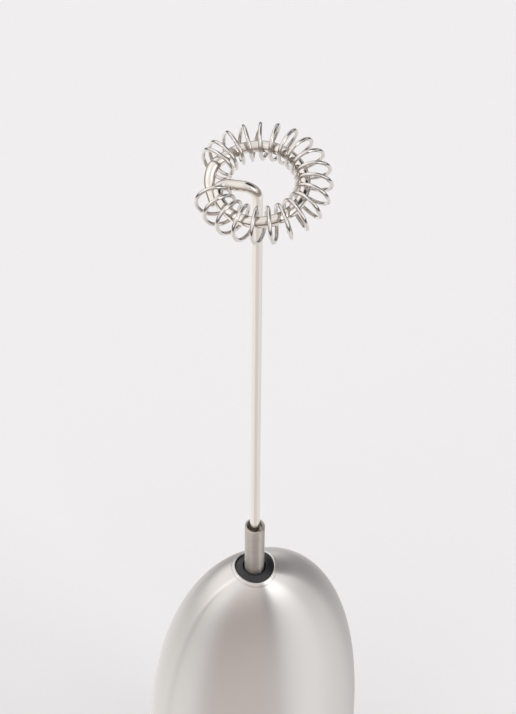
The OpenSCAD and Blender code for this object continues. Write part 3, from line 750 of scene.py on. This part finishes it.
spring_front = FLANGE_FRONT + FLANGE_T
button_spring = spring_line(BUTTON_SPRING_R, BUTTON_SPRING_R, spring_front, GUIDE_Y, SPRING_TURNS,
                            BUTTON_SPRING_WIRE)
button_coil = along_y(swept(button_spring, BUTTON_SPRING_WIRE, 12, (0, 0, 1)), BUTTON_Z)
return_spring = add_piece("return_spring", button_coil, "spring_steel", "handle", ["button_spring"],
                          50)
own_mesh(return_spring)

LEADS = {
    "lead_red": ("lead_switch", "red_insulation",
                 [(4.8, -3.8, 63.1), (6.2, -3.8, 63.1), (7.3, -3, 63.8), (8, -1, 65.4), (8.1, 1.2, 67.4),
                  (7.7, 2.8, 69.4), (7.25, 3.4, 70.6), (7.25, 3.4, 72)]),
    "lead_black": ("lead_battery", "black_insulation",
                   [(7.9, 6.05, 61), (7.9, 6.05, 62.5), (7.6, 6.3, 64.2), (6, 6.5, 66), (3, 6.4, 67.2),
                    (-1, 5.8, 67.8), (-4.6, 4, 68), (-7, 1.2, 68.4), (-7.7, -1.4, 69.2), (-7.3, -3.2, 70.6),
                    (-7.25, -3.4, 72)]),
}
for name, (cad, material, route) in LEADS.items():
    first = (0, 0, 1) if cad == "lead_switch" else (1, 0, 0)
    lead = swept(curve_through(route), LEAD_R, 16, first, 0.2)
    add_piece(name, lead, material, "handle", [cad], 50)

shaft_profile = smoothed([(0.2, SHAFT_LOW, 0), (SHAFT_R, SHAFT_LOW, 0.15), (SHAFT_R, SHAFT_HIGH, 0.15),
                          (0.2, SHAFT_HIGH, 0)], 4)
shaft = turned(shaft_profile, 48, low=True, high=True)
add_piece("motor_axle", shaft, "shaft_steel", "whisk", ["motor_shaft"])

KEPT = {     # the CAD's own pieces that are shown as they are, and what they are made of
    "chassis_front": "chassis_plastic", "chassis_back": "chassis_plastic", "chassis_screws": "fastener_steel",
    "motor_can": "plated_steel", "motor_end_bell": "nylon", "motor_front_bearing": "bronze",
    "motor_rear_bearing": "bronze", "motor_magnets": "ferrite", "motor_brushes": "carbon",
    "motor_terminals": "contact_metal", "rotor_core": "core_steel", "rotor_windings": "copper",
    "commutator": "copper", "shorting_plate": "contact_metal", "switch_contact": "contact_metal",
    "positive_contact": "contact_metal", "negative_contact": "contact_metal",
    "bridge_contact": "contact_metal",
}
for cad, material in KEPT.items():
    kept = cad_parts[cad]
    kept.data.materials.clear()
    kept.data.materials.append(materials[material])

# ------------------------------------------------------------ floor, light and camera

FLOOR_COLOR = (0.885, 0.878, 0.892)
VIEW_TURN = -23.0        # the camera stands this many degrees round from the button's side
VIEW_RISE = 50.0         # and looks down this steeply
VIEW_DISTANCE = 0.4698   # metres from the point aimed at, as the next two are metres
VIEW_AIM_Z = 0.1806
VIEW_AIM_RIGHT = 0.00034
VIEW_ROLL = 0.51
FOCAL_OVER_HEIGHT = 3.573
SENSOR = 36.0            # the sensor's longer side, which is the picture's height


def floor():
    """A plain pale sheet, which reflections don't see: there TABLE_LIGHT stands for it."""
    mesh = bpy.data.meshes.new("floor")
    half, count = 3.0, 24
    line = np.linspace(-half, half, count)
    verts = [(x, y, 0.0) for y in line for x in line]
    faces = [(j * count + i, j * count + i + 1, (j + 1) * count + i + 1, (j + 1) * count + i)
             for j in range(count - 1) for i in range(count - 1)]
    mesh.from_pydata(verts, [], faces)
    made = bpy.data.materials.new("floor_paper")
    made.use_nodes = True
    tree = made.node_tree
    shader = tree.nodes["Principled BSDF"]
    where = node(tree, "ShaderNodeTexCoord").outputs["Object"]
    grain = noise(tree, scaled(tree, where, (900, 900, 900)))
    paper = mixed(tree, grain, rgba(FLOOR_COLOR, 0.985), rgba(FLOOR_COLOR, 1.015))
    tree.links.new(paper, shader.inputs["Base Color"])
    shader.inputs["Roughness"].default_value = 0.9
    shader.inputs["Specular IOR Level"].default_value = 0.1
    mesh.materials.append(made)
    made_floor = bpy.data.objects.new("floor", mesh)
    bpy.context.scene.collection.objects.link(made_floor)
    made_floor.visible_glossy = False


def band(tree, direction, turn, half_width, edge, low, high, foot_share):
    """How much of a soft-edged upright band of the surroundings lies in a direction. turn counts from
    the camera's own side, to the right as the camera sees it; low and high are elevations. Below low
    only foot_share of the band is left."""
    turn = math.radians(turn + VIEW_TURN)
    ahead, right = Vector((math.sin(turn), -math.cos(turn), 0)), Vector((math.cos(turn), math.sin(turn), 0))
    off = maths(tree, "ARCTAN2", dot(tree, direction, right), dot(tree, direction, ahead))
    off = maths(tree, "ABSOLUTE", off)
    height = elevation(tree, direction)
    share = smooth_span(tree, off, math.radians(half_width - edge), math.radians(half_width + edge), 1.0, 0.0)
    top = smooth_span(tree, height, math.radians(high - 8), math.radians(high + 8), 1.0, 0.0)
    foot = smooth_span(tree, height, math.radians(low), math.radians(low + 35), foot_share, 1.0)
    return maths(tree, "MULTIPLY", share, maths(tree, "MULTIPLY", top, foot))


def elevation(tree, direction):
    return maths(tree, "ARCSINE", dot(tree, direction, Vector((0, 0, 1))))


# The light is set to give the reflections that one view shows, and isn't a record of real lamps.
# turn, half width, edge softness, lowest and highest elevation (degrees), share left below, brightness
BANDS = (
    (-92, 67, 12, -60, 84, 0.55, (1.28, 1.26, 1.24)),    # a weak, wide light on the left
    (-70, 11, 4, 26, 60, 0.0, (2.9, 2.85, 2.8)),         # its lamp
    (-63, 4, 3, -40, 50, 0.0, (0.55, 0.54, 0.53)),       # its edge
    (14, 28, 9, -50, 42, 0.30, (0.86, 0.75, 0.70)),      # the dark warm room behind the camera
    (72, 32, 3, -50, 76, 0.25, (1.27, 1.27, 1.26)),      # the soft box on the right
    (50, 11, 4, -12, 45, 0.0, (2.8, 2.8, 2.8)),          # its lamp
    (37, 4, 2, -34, 50, 0.0, (0.01, 0.01, 0.01)),        # its edge
    (127, 42, 6, 4, 72, 0.0, (0.03, 0.03, 0.03)),        # a dark gap behind it
)
SKY_LIGHT = (1.04, 1.035, 1.045)
TABLE_LIGHT = (0.92, 0.905, 0.915)
HORIZON_LIGHT = (0.05, 0.045, 0.045)
HORIZON_SHARE = 0.9
BACKDROP = (0.87, 0.855, 0.863)


def light():
    """Surroundings that light and reflections come from: a table, a dark line of room above it and a
    bright ceiling, with a few upright bands. The camera itself sees a plain backdrop behind the floor."""
    world = bpy.data.worlds.new("studio")
    bpy.context.scene.world = world
    world.use_nodes = True
    tree = world.node_tree
    tree.nodes.clear()
    direction = node(tree, "ShaderNodeTexCoord").outputs["Generated"]
    height = elevation(tree, direction)
    above = smooth_span(tree, height, math.radians(-20), math.radians(0), 0.0, 1.0)
    color = mixed(tree, above, rgba_light(TABLE_LIGHT), rgba_light(SKY_LIGHT))
    for turn, width, edge, low, high, foot_share, brightness in BANDS:
        share = band(tree, direction, turn, width, edge, low, high, foot_share)
        color = mixed(tree, share, color, rgba_light(brightness))
    off = maths(tree, "ABSOLUTE", maths(tree, "ADD", height, math.radians(6)))
    line = smooth_span(tree, off, math.radians(6), math.radians(20), HORIZON_SHARE, 0.0)
    color = mixed(tree, line, color, rgba_light(HORIZON_LIGHT))
    lit = node(tree, "ShaderNodeBackground", None, Color=color, Strength=1.0)
    plain = node(tree, "ShaderNodeBackground", None, Color=rgba_light(BACKDROP), Strength=1.0)
    seen = node(tree, "ShaderNodeLightPath").outputs["Is Camera Ray"]
    both = node(tree, "ShaderNodeMixShader", None, _0=seen, _1=lit.outputs[0], _2=plain.outputs[0])
    out = tree.nodes.new("ShaderNodeOutputWorld")
    tree.links.new(both.outputs[0], out.inputs["Surface"])


def rgba_light(color):
    return (*color, 1.0)


def camera():
    turn, rise, roll = (math.radians(v) for v in (VIEW_TURN, VIEW_RISE, VIEW_ROLL))
    back = Vector((math.sin(turn) * math.cos(rise), -math.cos(turn) * math.cos(rise), math.sin(rise)))
    right = Vector((math.cos(turn), math.sin(turn), 0))
    up = back.cross(right)
    aim = Vector((0, 0, VIEW_AIM_Z)) + right * VIEW_AIM_RIGHT
    right, up = right * math.cos(roll) + up * math.sin(roll), up * math.cos(roll) - right * math.sin(roll)
    data = bpy.data.cameras.new("camera")
    data.sensor_width = SENSOR
    data.lens = SENSOR * FOCAL_OVER_HEIGHT
    data.clip_start, data.clip_end = 0.01, 20.0
    made = bpy.data.objects.new("camera", data)
    bpy.context.scene.collection.objects.link(made)
    matrix = Matrix((right, up, back)).transposed().to_4x4()
    matrix.translation = aim + back * VIEW_DISTANCE
    made.matrix_world = matrix
    bpy.context.scene.camera = made


floor()
light()
camera()
bpy.context.scene.view_settings.view_transform = "Standard"
